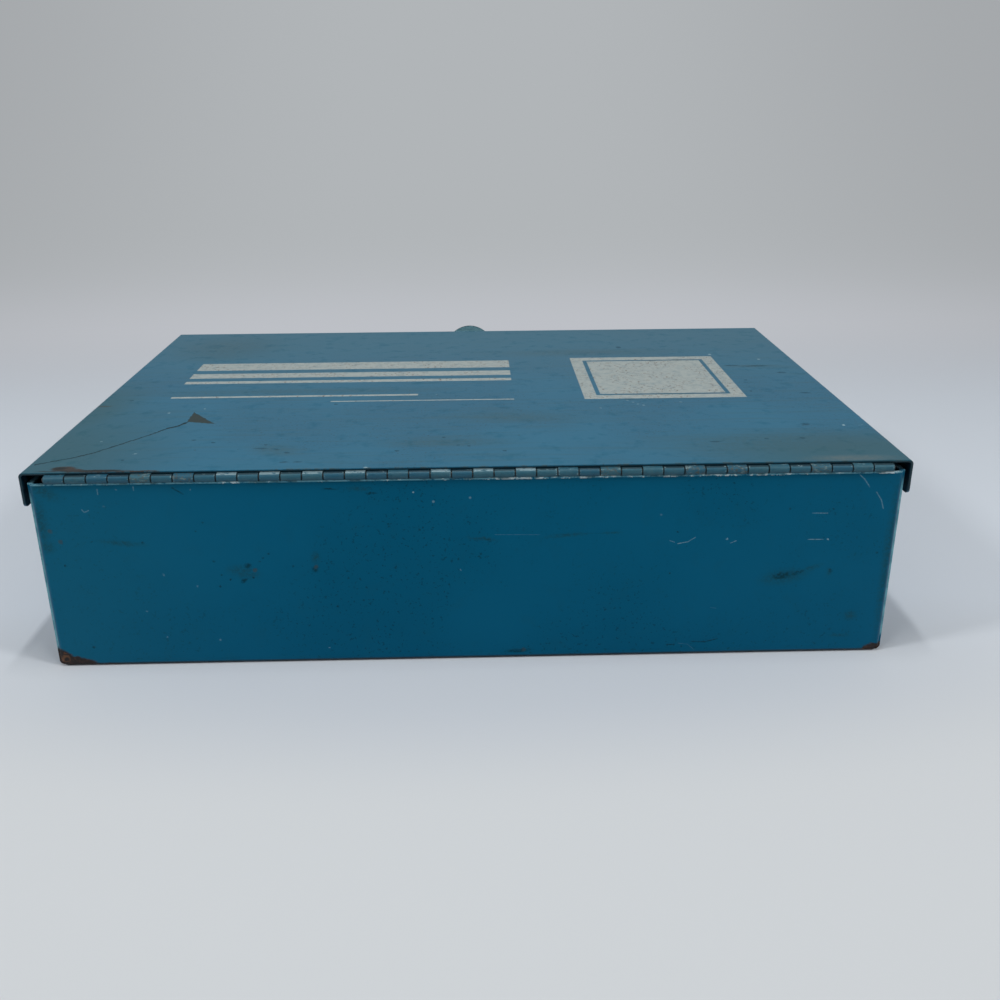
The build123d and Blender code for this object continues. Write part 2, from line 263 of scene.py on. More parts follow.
def spots(tree, place, soft, rows):
    """Mask of several spots, each given by its middle, half length, half width and angle."""
    mask = None
    for x, y, half_length, half_width, angle in rows:
        cosine, sine = math.cos(math.radians(angle)), math.sin(math.radians(angle))
        inputs = {"Place": place, "Centre": (x, y, 0), "Soft": soft}
        inputs["Along"] = (cosine / half_length, sine / half_length, 0)
        inputs["Across"] = (-sine / half_width, cosine / half_width, 0)
        spot = use(tree, SPOT, inputs)["Mask"]
        mask = spot if mask is None else largest(tree, mask, spot)
    return mask


def dots(tree, place, radius, centres):
    """Mask of several round spots of one size."""
    return spots(tree, place, 0.35, [(x, y, radius, radius, 0) for x, y in centres])


def scratches(tree, place, half_width, lines):
    """Mask of several scratches, each a line of points."""
    mask = None
    for line in lines:
        for start, end in zip(line, line[1:]):
            along = (end[0] - start[0], end[1] - start[1], 0)
            inputs = {"Place": place, "Start": (*start, 0), "Along": along, "Half Width": half_width}
            stroke = use(tree, STROKE, inputs)["Mask"]
            mask = stroke if mask is None else largest(tree, mask, stroke)
    return mask


def start_material(name):
    """A new material's node tree, and the place on the object in millimetres."""
    material = bpy.data.materials.new(name)
    material.use_nodes = True
    material.node_tree.nodes.clear()
    tree = material.node_tree
    place = vector_calc(tree, "SCALE", add(tree, "TexCoord").outputs["Object"])
    place.node.inputs["Scale"].default_value = 1000
    return material, tree, place


def end_material(tree, colour, roughness, height, metallic=0.0, **fixed):
    """Principled shader with its bump, whose height is in millimetres."""
    bump = add(tree, "Bump", {"Height": height, "Distance": 0.001, "Strength": 1.0})
    inputs = {"Base Color": colour, "Roughness": roughness, "Metallic": metallic}
    inputs |= {"Normal": bump.outputs[0]}
    for name, value in fixed.items():
        inputs[name.replace("_", " ").title().replace("Ior", "IOR")] = value
    shader = add(tree, "BsdfPrincipled", inputs)
    add(tree, "OutputMaterial", {"Surface": shader.outputs[0]})


def millimetres(corner):
    """A corner of the frame in millimetres."""
    return [value * 1000 for value in corner]


def wall_wear(tree, colour, x, z, wall):
    """The hinge wall's own scuffs, smudges and scratches, where they lie on the real box."""
    flat = add(tree, "CombineXYZ", {0: x, 1: z}).outputs[0]
    face = ragged(tree, flat, 1.6, 1.8)
    fine = ragged(tree, flat, 1.2, 0.25)
    broken = fade(tree, noise(tree, flat, 1.5, 5, 0.75), 0.42, 0.56)
    colour = over(tree, colour, TEAL_GREY, product(tree, fade(tree, x, -70, -165), wall, 0.5))
    haze = spots(tree, face, 0.75, [
        (122, 34, 7.5, 2.6, 8), (131.5, 37, 4.5, 1.0, 22), (140, 36, 0.9, 1.4, 0), (-88, 40, 5, 2.2, -12),
        (-133, 53, 7, 0.9, -6), (-159, 74.5, 5, 2.2, -30), (-161.5, 52, 3, 2.4, 0), (-42, 73.6, 3.6, 0.8, 0),
        (150.5, 16.4, 2.2, 1.8, 0), (147, 7.5, 3.2, 0.7, 0), (162.4, 40, 1.8, 30, 0), (-162, 62, 2.2, 8, 0),
        (36, 53.2, 7, 0.7, 5), (4, 52.4, 5, 0.6, -6), (54, 54, 3, 0.5, 0), (-60, 45.5, 1.4, 2.2, 0),
    ])
    haze = product(tree, haze, calc(tree, "MULTIPLY_ADD", broken, 0.75, 0.25), wall, 0.72)
    colour = over(tree, colour, OLIVE_SMUDGE, haze)
    dark = largest(
        tree,
        spots(tree, face, 0.5, [
            (121.5, 34.6, 3.6, 1.2, 8), (127.5, 35.6, 2.2, 0.6, 20), (17.5, 3.3, 3.8, 0.8, 0),
            (-37.3, 71.8, 2.0, 0.4, 0), (-60.5, 40.7, 1.3, 1.3, 0), (-86.3, 42.7, 1.4, 0.9, 0),
            (-88.2, 36.3, 1.3, 0.8, 30), (140.2, 36.3, 0.6, 1.0, 0), (-53, 73.8, 2.4, 0.4, 0),
            (163.6, 67, 0.6, 2.4, 0), (163.7, 16.1, 0.6, 1.2, 0),
        ]),
        dots(tree, face, 0.45, [
            (-144.2, 53.7), (-125, 52.9), (-104.5, 57.4), (-101.5, 60.9), (-81.5, 44.4), (-69, 42.1),
            (-155.6, 44), (-52.8, 24.5), (79.2, 53.8), (138.8, 62.3), (121.8, 62.8), (77, 36.4),
            (157.8, 43.5), (-99, 44.6), (-96.7, 39), (-93.4, 36.8), (-84.5, 37.6), (-80.2, 45.8),
            (-97.5, 34), (-78, 47.6), (-150, 8.4),
        ]),
        scratches(tree, fine, 0.28, [
            [(-111.3, 75.1), (-107.5, 72.6)],
            [(87.5, 5.8), (93, 5.5), (97.8, 6.9)],
            [(77.7, 4.6), (80.5, 4.6)],
        ]),
        product(tree, 0.45, scratches(tree, fine, 0.1, [
            [(0.5, 52.7), (8.2, 51.9)], [(31.9, 53.6), (55.8, 53.9)],
        ])),
    )
    dark_strength = calc(tree, "MULTIPLY_ADD", broken, 0.5, 0.4)
    colour = over(tree, colour, DARK_MARK_AND_SHADE, product(tree, dark, dark_strength, wall))
    brown = dots(tree, face, 0.85, [(-83.6, 40.5), (-158.9, 58.4), (-155.7, 53.9), (-60.2, 41.6), (20, 3.6)])
    brown = product(tree, brown, wall, 0.6)
    colour = over(tree, colour, BROWN_SPOT, brown)
    pale = largest(
        tree,
        product(tree, 0.8, scratches(tree, fine, 0.13, [
            [(79.5, 48.9), (83.5, 49.7), (86.2, 51.5)],
            [(76.3, 50.3), (78.2, 49.6)],
            [(100, 48.8), (102.2, 49.7)],
            [(130.7, 60.8), (136.6, 60.7)],
            [(130.1, 49.8), (136, 49.7)],
        ])),
        product(tree, 0.45, scratches(tree, fine, 0.2, [
            [(147.2, 76.2), (149.3, 74.3), (151.5, 71.2)],
            [(154.5, 69), (156.8, 65.6), (157.9, 62.2)],
            [(-145.8, 66.9), (-145, 65.8), (-143.4, 66.6)],
            [(-139, 75), (-139, 73)],
            [(-125.6, 75.8), (-125.6, 74.4)],
        ])),
        product(tree, 0.25, scratches(tree, fine, 0.08, [
            [(8.9, 54), (26.2, 53.7)], [(82.1, 5.2), (86, 4.6), (88.8, 1.9)], [(94, 21), (96.4, 20.6)],
        ])),
        product(tree, 0.9, dots(tree, face, 0.34, [
            (-21.8, 71.9), (-57.4, 6.3), (98.5, 50.7), (137.8, 49.7),
        ])),
        product(tree, 0.3, dots(tree, face, 0.4, [
            (-132.1, 74.8), (-104.8, 74.3), (-118.9, 39.4), (-106.2, 34.4), (-120.5, 12.3),
            (-127.1, 24), (-4.4, 39.3), (72.5, 61.2), (-137.5, 68.1),
        ])),
    )
    pale = product(tree, pale, calc(tree, "MULTIPLY_ADD", broken, 0.6, 0.4), wall)
    return over(tree, colour, PALE_SCRATCH, pale), largest(tree, product(tree, dark, wall), brown)


def tray_enamel():
    """Glossy teal enamel, chipped to rust along its folds and corners."""
    material, tree, place = start_material("case_enamel")
    x, y, z = add(tree, "SeparateXYZ", {0: place}).outputs
    wall = fade(tree, y, WALL_FACE + 0.4, WALL_FACE + 0.2)
    elsewhere = calc(tree, "SUBTRACT", 1.0, wall)
    inputs = {"Place": place, "Deep": srgb(TEAL_DEEP), "Light": srgb(TEAL_LIGHT), "Scuffs": elsewhere}
    enamel = use(tree, ENAMEL, inputs)
    colour, broken_skin = wall_wear(tree, enamel["Colour"], x, z, wall)
    edges = use(tree, EDGES, {"Place": place, "Low": millimetres(TRAY_LOW), "High": millimetres(TRAY_HIGH)})
    lengthwise = vector_calc(tree, "MULTIPLY", place, (0.6, 0.6, 1.0))
    chip_noise = noise(tree, lengthwise, 1.6, 4, 0.7)
    # Painted highlight: a broken pale line along the top of the tray's walls, where the rim catches the
    # light.
    rim = product(tree, fade(tree, z, WALL_TOP - 0.7, WALL_TOP - 0.55), fade(tree, chip_noise, 0.34, 0.5))
    colour = over(tree, colour, RIM_HIGHLIGHT, product(tree, rim, 0.9))
    # Painted shade: a broken dark band on the hinge wall just under the rim's painted highlight.
    above_band = fade(tree, z, WALL_TOP - 0.7, WALL_TOP - 0.9)
    shade_under_rim = product(tree, fade(tree, z, WALL_TOP - 1.3, WALL_TOP - 1.0), above_band, wall)
    colour = over(tree, colour, DARK_MARK_AND_SHADE, product(tree, shade_under_rim, fade(tree, chip_noise, 0.4, 0.6), 0.5))
    along_rim = add(tree, "CombineXYZ", {0: x}).outputs[0]
    chipped_rim = spots(tree, along_rim, 0.6, [
        (33, 0, 34, 9, 0), (95, 0, 28, 9, 0), (-89, 0, 6, 9, 0), (160, 0, 6, 9, 0),
    ])
    chipped_rim = calc(tree, "MULTIPLY_ADD", chipped_rim, -0.12, 0.62)
    rim_chips = fade(tree, calc(tree, "SUBTRACT", chip_noise, chipped_rim), 0.0, 0.05)
    near_top = fade(tree, z, WALL_TOP - 0.9, WALL_TOP - 0.7)
    colour = over(tree, colour, RIM_CHIP, product(tree, rim_chips, near_top))
    edge_noise = noise(tree, place, 5, 4, 0.6)
    worn_edge = product(tree, fade(tree, edges["Edge"], 0.9, 0.3), fade(tree, edge_noise, 0.5, 0.6))
    colour = over(tree, colour, WORN_FOLD, product(tree, worn_edge, 0.7))
    near_wall = fade(tree, y, WALL_FACE + 2.4, WALL_FACE + 1.8)
    # Painted highlight: a patchy pale line down the rounded folds at the two ends of the hinge wall.
    aside = calc(tree, "ABSOLUTE", x)
    fold_highlight = fade(tree, aside, SIDE_FACE - 1.1, SIDE_FACE - 0.85)
    fold_highlight = product(
        tree, fold_highlight, near_wall, fade(tree, z, 5, 8), fade(tree, z, WALL_TOP - 1.3, WALL_TOP - 9.3)
    )
    patchy = calc(tree, "MULTIPLY_ADD", fade(tree, edge_noise, 0.35, 0.6), 0.4, 0.45)
    colour = over(tree, colour, FOLD_HIGHLIGHT, product(tree, fold_highlight, patchy))
    colour = over(tree, colour, FOOT_SHADE, product(tree, fade(tree, z, 1.6, 0.8), near_wall, 0.85))
    face = ragged(tree, add(tree, "CombineXYZ", {0: x, 1: z}).outputs[0], 2.2, 2.4)
    wall_rust = spots(tree, face, 0.12, [
        (-164, 0.8, 6.4, 6.8, 0), (-157, 0.4, 8.6, 3.8, -8), (161.4, 1.2, 4.0, 2.5, 0), (-145, 0, 6, 0.8, 0),
    ])
    bottom_line = product(tree, fade(tree, z, 0.75, 0.45), fade(tree, edge_noise, 0.45, 0.55), 0.25)
    wall_rust = largest(tree, wall_rust, bottom_line)
    corner_rust = calc(tree, "MULTIPLY_ADD", edge_noise, 10, edges["Corner"])
    corner_rust = product(tree, fade(tree, corner_rust, 8.0, 7.0), fade(tree, z, 30, 20))
    foot = product(tree, fade(tree, z, 0.85, 0.45), fade(tree, edges["Edge"], 2.6, 1.4))
    foot = product(tree, foot, fade(tree, edge_noise, 0.54, 0.62))
    corroded = largest(tree, product(tree, wall_rust, near_wall), corner_rust, foot)
    rust = use(tree, RUST, {"Place": place, "Bloom": 0.45})
    colour = over(tree, colour, rust["Colour"], corroded)
    ring = spots(tree, face, 0.3, [(-161.6, 3.4, 1.7, 1.5, 0)])
    ring = calc(tree, "SUBTRACT", ring, spots(tree, face, 0.3, [(-161.4, 3.2, 1.1, 0.9, 0)]))
    colour = over(tree, colour, RUST_RING, product(tree, ring, near_wall, 0.7))
    roughness = calc(tree, "ADD", enamel["Dull"], 0.3)
    roughness = calc(tree, "MULTIPLY_ADD", corroded, 0.45, roughness)
    height = calc(tree, "MULTIPLY_ADD", corroded, rust["Height"], enamel["Height"])
    chipped = largest(tree, corroded, broken_skin, worn_edge)
    height = calc(tree, "MULTIPLY_ADD", chipped, -0.05, height)
    end_material(tree, colour, roughness, height, specular_tint=TEAL_GLOSS_TINT, specular_ior_level=0.4)
    return material


def paint(node_name, material):
    """Puts a material on one of the frame's nodes."""
    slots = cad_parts[node_name].material_slots
    for one in slots:
        one.material = material


paint("case_tray", tray_enamel())

# Lid
# A second blank, folded down 14 mm on three sides and welded at two corners. Its top has chalked in
# the light to a dull grey blue. It has lost a triangle of enamel at the left, is scored from there
# to its edge, and still carries some blocks of plain off-white screen print.
CHALK_DEEP = (16, 90, 119)
CHALK_LIGHT = (26, 98, 127)
CHALK_GREEN = (34, 81, 93)
FAR_SHEEN_GREY = (44, 98, 119)
CHALK_OLIVE = (38, 76, 86)
WARM_HAZE = (104, 110, 108)
TOP_MARK = (22, 54, 70)
TOP_FLECK = (150, 178, 186)
PRINT_WHITE = (166, 173, 168)
PRINT_SPECK = (98, 78, 62)
CHIP_OLIVE = (44, 48, 42)
SCORED = (12, 28, 32)
LID_SCALE = (58, 53, 51)
LID_WORN_FOLD = (52, 72, 76)
RUST_STREAK = (16, 20, 22)
RAW_EDGE_AND_SHADE = (6, 24, 32)
SHADED_FLANGE = (2, 26, 38)
CHALK_GLOSS_TINT = [0.6, 0.9, 1.0, 1.0]
LID_LOW, LID_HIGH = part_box("lid_shell")
LID_EDGE = LID_LOW.y * 1000  # raw edge over the hinge
LID_TOP = LID_HIGH.z * 1000
LID_SHEET = 0.9  # thickness of its steel


def panel_group():
    """One printed block: a plain rectangle with sharp sides."""
    sockets = {"Place": "Vector", "Centre": "Vector", "Half": "Vector"}
    tree, given, result = new_group("printed_block", sockets, {"Mask": "Float"})
    offset = vector_calc(tree, "ABSOLUTE", vector_calc(tree, "SUBTRACT", given["Place"], given["Centre"]))
    past_side = add(tree, "SeparateXYZ", {0: vector_calc(tree, "SUBTRACT", offset, given["Half"])}).outputs
    tree.links.new(fade(tree, largest(tree, *past_side), 0.15, -0.15), result.inputs["Mask"])
    return tree


PANEL = panel_group()


def blocks(tree, place, rows):
    """Mask of several printed blocks, each from its lowest to its highest x and y."""
    mask = None
    for x_low, x_high, y_low, y_high in rows:
        centre = ((x_low + x_high) / 2, (y_low + y_high) / 2, 0)
        half = ((x_high - x_low) / 2, (y_high - y_low) / 2, 1)
        block = use(tree, PANEL, {"Place": place, "Centre": centre, "Half": half})["Mask"]
        mask = block if mask is None else largest(tree, mask, block)
    return mask


def screen_print(tree, place, colour):
    """A framed square and a set of stripes in off-white ink, with a few brown specks."""
    near = ragged(tree, place, 0.8, 0.35)
    printed = blocks(tree, near, [
        (52, 126, -27, 50), (-137, 20, 32.6, 46.6), (-137, 20, 17.6, 26.2), (-137, 20, 7.4, 11.8),
        (-137, -24, -17.2, -14.8), (-63, 20, -26, -24.8),
    ])
    border = blocks(tree, near, [(58, 120, -21, 44)])
    inner = blocks(tree, near, [(60, 118, -19, 42)])
    printed = calc(tree, "SUBTRACT", printed, calc(tree, "SUBTRACT", border, inner))
    thin = fade(tree, noise(tree, place, 4, 6, 0.75), 0.66, 0.44)
    printed = product(tree, printed, calc(tree, "MULTIPLY_ADD", thin, 0.3, 0.6))
    colour = over(tree, colour, PRINT_WHITE, printed)
    specks = fade(tree, noise(tree, place, 1.7, 4, 0.65), 0.55, 0.63)
    gathered = fade(tree, noise(tree, place, 14, 2), 0.4, 0.56)
    colour = over(tree, colour, PRINT_SPECK, product(tree, specks, gathered, printed, 1.1))
    return colour, printed


def chip(tree, face):
    """Mask of the triangle of enamel that has come away."""
    corners = ((-120.9, -39.4), (-108, -57.1), (-120.6, -53.5))
    outside = None
    for start, end in zip(corners, corners[1:] + corners[:1]):
        side = Vector((start[1] - end[1], end[0] - start[0], 0)).normalized()
        away = dot_product(tree, face, side)
        away = calc(tree, "SUBTRACT", away, side.x * start[0] + side.y * start[1])
        outside = away if outside is None else calc(tree, "MAXIMUM", outside, away)
    return fade(tree, outside, 0.25, -0.25)


def top_wear(tree, colour, face, flat):
    """The lid's own haze, dark marks, pale dots, chip and score, where they lie on the real box."""
    broken = fade(tree, noise(tree, flat, 2.0, 4, 0.7), 0.4, 0.58)
    rubbed = calc(tree, "MULTIPLY_ADD", broken, 0.5, 0.5)
    green = spots(tree, face, 0.7, [(-172, -95, 44, 66, 12), (-170, -40, 20, 44, 0), (160, -108, 56, 24, 0)])
    colour = over(tree, colour, CHALK_GREEN, product(tree, green, 0.85))
    haze = spots(tree, face, 0.85, [
        (-131, 80, 22, 24, 0), (20, -53, 24, 7, -4), (104, 43, 15, 7, 0), (143, 29, 12, 2.2, 0),
        (120, -92, 40, 12, 0), (-10, -86, 22, 5, 0), (92, -20, 26, 5, 0), (60, 62, 40, 6, 0),
        (-84, -8, 60, 5, 0), (-76, -93, 9, 6, -30),
    ])
    colour = over(tree, colour, CHALK_OLIVE, product(tree, haze, rubbed, 0.55))
    warm = spots(tree, face, 0.8, [(145, -111.6, 14, 2.6, 0), (141.8, -112.6, 5.5, 1.6, 0)])
    colour = over(tree, colour, WARM_HAZE, product(tree, warm, rubbed, 0.5))
    dark = largest(
        tree,
        spots(tree, face, 0.5, [
            (80.6, 72.3, 1.3, 1.8, 0), (107, 42.9, 2.4, 1.7, 0), (132.4, 30.4, 3.4, 1.0, 0),
            (144, 28.6, 6.5, 1.0, 3), (153.8, 15.3, 2.0, 1.3, 0), (154.2, -21.6, 2.4, 0.9, 0),
            (72, -27.7, 2.8, 0.8, 0), (140.1, -68.9, 1.8, 1.4, 0), (97.6, -90, 2.4, 0.8, 0),
            (-82.4, -90.4, 2.4, 0.9, 0), (-70.9, -107.2, 1.7, 0.8, 0), (-65.4, -107, 1.5, 0.7, 0),
            (-76.5, -91.8, 1.6, 0.8, -30), (-71.5, -96, 1.4, 0.8, -30), (133.4, -87.1, 1.1, 1.0, 0),
        ]),
        dots(tree, face, 0.8, [
            (118.8, -87.4), (132.6, 2), (130.3, -17.4), (-111.5, -78.8), (-102.9, -82.1), (-153.8, -20),
            (-132.9, -102.4), (-81.2, -86), (-28.6, -95.7), (-10.8, -79.9), (-5, -89.8), (-0.5, -91.1),
            (13.5, -97.6), (-60, -30),
        ]),
    )
    colour = over(tree, colour, TOP_MARK, product(tree, dark, rubbed, 0.75))
    pale = largest(
        tree,
        dots(tree, face, 0.75, [(155.5, -70.8), (-39.1, -114.2), (126.4, 54), (149.3, 42.6)]),
        product(tree, 0.6, dots(tree, face, 0.55, [
            (73.1, -32.8), (74.8, -36), (57.6, -41.4), (94.5, -33.8), (-131.8, -40.2), (-117.5, -34.5),
            (-148.4, -78.8), (-130.1, -94.7), (71, -30), (77, -38),
        ])),
        product(tree, 0.5, scratches(tree, face, 0.15, [
            [(161.5, -71.5), (163.8, -70.2)], [(-131, -95.5), (-129.5, -93.8)],
        ])),
    )
    colour = over(tree, colour, TOP_FLECK, product(tree, pale, 0.75))
    olive = spots(tree, face, 0.4, [(-163.6, -28.6, 3.4, 0.9, 0)])
    colour = over(tree, colour, CHIP_OLIVE, product(tree, olive, 0.8))
    lost = chip(tree, face)
    colour = over(tree, colour, CHIP_OLIVE, product(tree, lost, 0.95))
    scored = largest(
        tree,
        scratches(tree, face, 0.7, [[(-120.4, -54.6), (-123, -59.6), (-126.3, -62.5)]]),
        scratches(tree, face, 0.42, [[
            (-126.3, -62.5), (-131.3, -70.9), (-141.2, -85.1), (-146.8, -92.9), (-153.3, -99),
            (-160, -102.9), (-164.5, -106),
        ]]),
    )
    colour = over(tree, colour, SCORED, product(tree, scored, 0.95))
    return colour, largest(tree, lost, scored, product(tree, dark, 0.5))


def lid_enamel():
    """Chalked enamel on the top, the tray's own enamel on the flanges and inside."""
    material, tree, place = start_material("lid_enamel")
    x, y, z = add(tree, "SeparateXYZ", {0: place}).outputs
    top = fade(tree, z, LID_TOP - 0.6, LID_TOP - 0.1)
    inputs = {"Place": place, "Deep": srgb(TEAL_DEEP), "Light": srgb(TEAL_LIGHT), "Scuffs": 1.0}
    glossy = use(tree, ENAMEL, inputs)
    inputs = {"Place": place, "Deep": srgb(CHALK_DEEP), "Light": srgb(CHALK_LIGHT), "Scuffs": 0.0}
    chalked = use(tree, ENAMEL, inputs)
    streaks = noise(tree, vector_calc(tree, "MULTIPLY", place, (0.06, 1.0, 1.0)), 2.5, 4, 0.6)
    colour = over(tree, chalked["Colour"], CHALK_OLIVE, product(tree, fade(tree, streaks, 0.45, 0.7), 0.3))
    # Painted sheen: the top grows greyer and lighter towards its far edge.
    colour = over(tree, colour, FAR_SHEEN_GREY, product(tree, fade(tree, y, -30, 115), 0.75))
    edges = use(tree, EDGES, {"Place": place, "Low": millimetres(LID_LOW), "High": millimetres(LID_HIGH)})
    flat = add(tree, "CombineXYZ", {0: x, 1: y}).outputs[0]
    face = ragged(tree, flat, 2.0, 1.8)
    colour, broken_skin = top_wear(tree, colour, face, flat)
    colour, printed = screen_print(tree, flat, colour)
    rusted = spots(tree, face, 0.25, [
        (-152, -111, 4.6, 2.6, 0), (-148.5, -112.8, 4.6, 1.8, 0), (-139, -113.9, 9.5, 1.2, 0),
        (-124, -114.6, 8, 0.6, 0),
    ])
    corroded = product(tree, rusted, top)
    rust = use(tree, RUST, {"Place": place, "Bloom": 0.0})
    scale = over(tree, rust["Colour"], LID_SCALE, 0.6)
    colour = over(tree, glossy["Colour"], colour, top)
    edge_noise = noise(tree, place, 5, 4, 0.6)
    worn_edge = product(tree, fade(tree, edges["Edge"], 1.0, 0.3), fade(tree, edge_noise, 0.5, 0.6))
    colour = over(tree, colour, LID_WORN_FOLD, product(tree, worn_edge, 0.7))
    colour = over(tree, colour, scale, corroded)
    streak = spots(tree, face, 0.4, [
        (-138, -113.6, 9.5, 1.0, 0), (-153, -113.5, 8, 0.6, 0), (-153.5, -110.6, 2.6, 1.5, 0),
    ])
    colour = over(tree, colour, RUST_STREAK, product(tree, streak, top, 0.85))
    # The raw edge over the hinge: near black on its lower part, its own dark deepened by painted shade.
    raw = fade(tree, y, LID_EDGE + 0.25, LID_EDGE + 0.05)
    raw = product(tree, raw, fade(tree, z, LID_TOP - 0.25, LID_TOP - 0.5))
    colour = over(tree, colour, RAW_EDGE_AND_SHADE, product(tree, raw, 0.92))
    inner_face = LID_HIGH.x * 1000 - LID_SHEET
    shaded = fade(tree, calc(tree, "ABSOLUTE", x), inner_face + 0.25, inner_face + 0.1)
    shaded = product(tree, shaded, fade(tree, z, LID_TOP - 1.2, LID_TOP - 1.7), fade(tree, y, -95, -110))
    colour = over(tree, colour, SHADED_FLANGE, product(tree, shaded, 0.9))
    roughness = calc(tree, "MULTIPLY_ADD", top, 0.1, calc(tree, "ADD", chalked["Dull"], 0.3))
    roughness = calc(tree, "MULTIPLY_ADD", largest(tree, corroded, broken_skin), 0.3, roughness)
    height = calc(tree, "MULTIPLY_ADD", corroded, rust["Height"], glossy["Height"])
    height = calc(tree, "MULTIPLY_ADD", product(tree, broken_skin, top), -0.06, height)
    height = calc(tree, "MULTIPLY_ADD", product(tree, printed, top), 0.012, height)
    end_material(tree, colour, roughness, height, specular_tint=CHALK_GLOSS_TINT)
    return material


paint("lid_shell", lid_enamel())

# Hinge
# Two leaves of thin steel with their knuckles rolled round one wire, spot welded inside the hinge
# wall and under the lid, then enamelled with the box. Some of the lid's knuckles have rubbed bare
# on their upper edge, and a few are speckled with brown.
HINGE_DEEP = (24, 71, 89)
HINGE_LIGHT = (37, 84, 100)
HINGE_MOTTLE = (56, 92, 102)
HINGE_SHADE = (8, 26, 34)
KNUCKLE_TEAL = (10, 72, 98)
KNUCKLE_FLECK = (112, 126, 122)
KNUCKLE_BRIGHT = (128, 152, 160)
KNUCKLE_BROWN = (72, 66, 54)
KNUCKLE_RIM = (116, 142, 148)
WIRE_LIGHT = (64, 64, 60)
WIRE_DARK = (34, 34, 33)
KNUCKLES = 40
RUBBED_KNUCKLES = (8, 10, 12, 14, 18, 20, 22)
SPECKLED_KNUCKLES = (4, 6, 26, 30, 32, 36)
HINGE_LOW, HINGE_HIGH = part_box("hinge_leaf_lid")
HINGE_TOP = HINGE_HIGH.z * 1000
KNUCKLE_PITCH = (HINGE_HIGH.x - HINGE_LOW.x) * 1000 / KNUCKLES


def hinge_enamel():
    """Greyed enamel, rubbed through on some knuckles and speckled brown on others."""
    material, tree, place = start_material("hinge_enamel")
    x, _, z = add(tree, "SeparateXYZ", {0: place}).outputs
    inputs = {"Place": place, "Deep": srgb(HINGE_DEEP), "Light": srgb(HINGE_LIGHT), "Scuffs": 0.0}
    enamel = use(tree, ENAMEL, inputs)
    mottle = fade(tree, noise(tree, place, 1.6, 4, 0.65), 0.4, 0.6)
    colour = over(tree, enamel["Colour"], HINGE_MOTTLE, product(tree, mottle, 0.4))
    along = calc(tree, "DIVIDE", calc(tree, "SUBTRACT", x, HINGE_LOW.x * 1000), KNUCKLE_PITCH)
    number = calc(tree, "FLOOR", along)
    tone = add(tree, "TexWhiteNoise", {"W": number}, noise_dimensions="1D").outputs["Value"]
    colour = over(tree, colour, KNUCKLE_TEAL, product(tree, fade(tree, tone, 0.2, 0.9), 0.6))
    rubbed = largest(tree, *[calc(tree, "COMPARE", number, one, 0.2) for one in RUBBED_KNUCKLES])
    speckled = largest(tree, *[calc(tree, "COMPARE", number, one, 0.2) for one in SPECKLED_KNUCKLES])
    wear = noise(tree, vector_calc(tree, "MULTIPLY", place, (0.5, 1.0, 1.0)), 1.4, 4, 0.7)
    crest = fade(tree, z, HINGE_TOP - 0.4, HINGE_TOP - 0.2)
    bright = fade(tree, calc(tree, "MULTIPLY_ADD", rubbed, 0.2, wear), 0.6, 0.68)
    bright = product(tree, bright, crest)
    pale = product(tree, speckled, fade(tree, wear, 0.54, 0.62), 0.6)
    colour = over(tree, colour, KNUCKLE_FLECK, pale)
    on_case = fade(tree, calc(tree, "FLOORED_MODULO", number, 2), 0.4, 0.6)
    # Painted shade: over the tops of the case's knuckles, and on all below a little above the tray's rim.
    shaded = fade(tree, z, WALL_TOP + 0.8, WALL_TOP + 0.2)
    shaded = largest(tree, product(tree, crest, on_case), shaded)
    colour = over(tree, colour, HINGE_SHADE, product(tree, shaded, 0.75))
    colour = over(tree, colour, KNUCKLE_BRIGHT, bright)
    brown = fade(tree, noise(tree, place, 1.1, 4, 0.7), 0.5, 0.6)
    brown = product(tree, brown, calc(tree, "MULTIPLY_ADD", speckled, 0.6, 0.12))
    colour = over(tree, colour, KNUCKLE_BROWN, brown)
    from_joint = calc(tree, "PINGPONG", along, 0.5)
    near_end = product(tree, fade(tree, from_joint, 0.12, 0.07), fade(tree, wear, 0.54, 0.62), 0.6)
    near_top = product(tree, crest, fade(tree, wear, 0.56, 0.64), calc(tree, "SUBTRACT", 1.0, on_case), 0.5)
    colour = over(tree, colour, KNUCKLE_RIM, largest(tree, near_end, near_top))
    # Painted shade in the narrow gaps between the knuckles, above the tray's rim.
    joint_shade = fade(tree, from_joint, 0.05, 0.03)
    joint_shade = product(tree, joint_shade, fade(tree, z, WALL_TOP - 0.1, WALL_TOP + 0.1))
    colour = over(tree, colour, HINGE_SHADE, product(tree, joint_shade, 0.85))
    roughness = calc(tree, "MULTIPLY_ADD", brown, 0.3, calc(tree, "ADD", enamel["Dull"], 0.4))
    height = calc(tree, "MULTIPLY_ADD", largest(tree, bright, pale, brown), -0.03, enamel["Height"])
    metallic = product(tree, bright, 0.4)
    end_material(tree, colour, roughness, height, metallic, specular_tint=CHALK_GLOSS_TINT)
    return material


HINGE_ENAMEL = hinge_enamel()
for name in ("hinge_leaf_lid", "hinge_leaf_case"):
    paint(name, HINGE_ENAMEL)


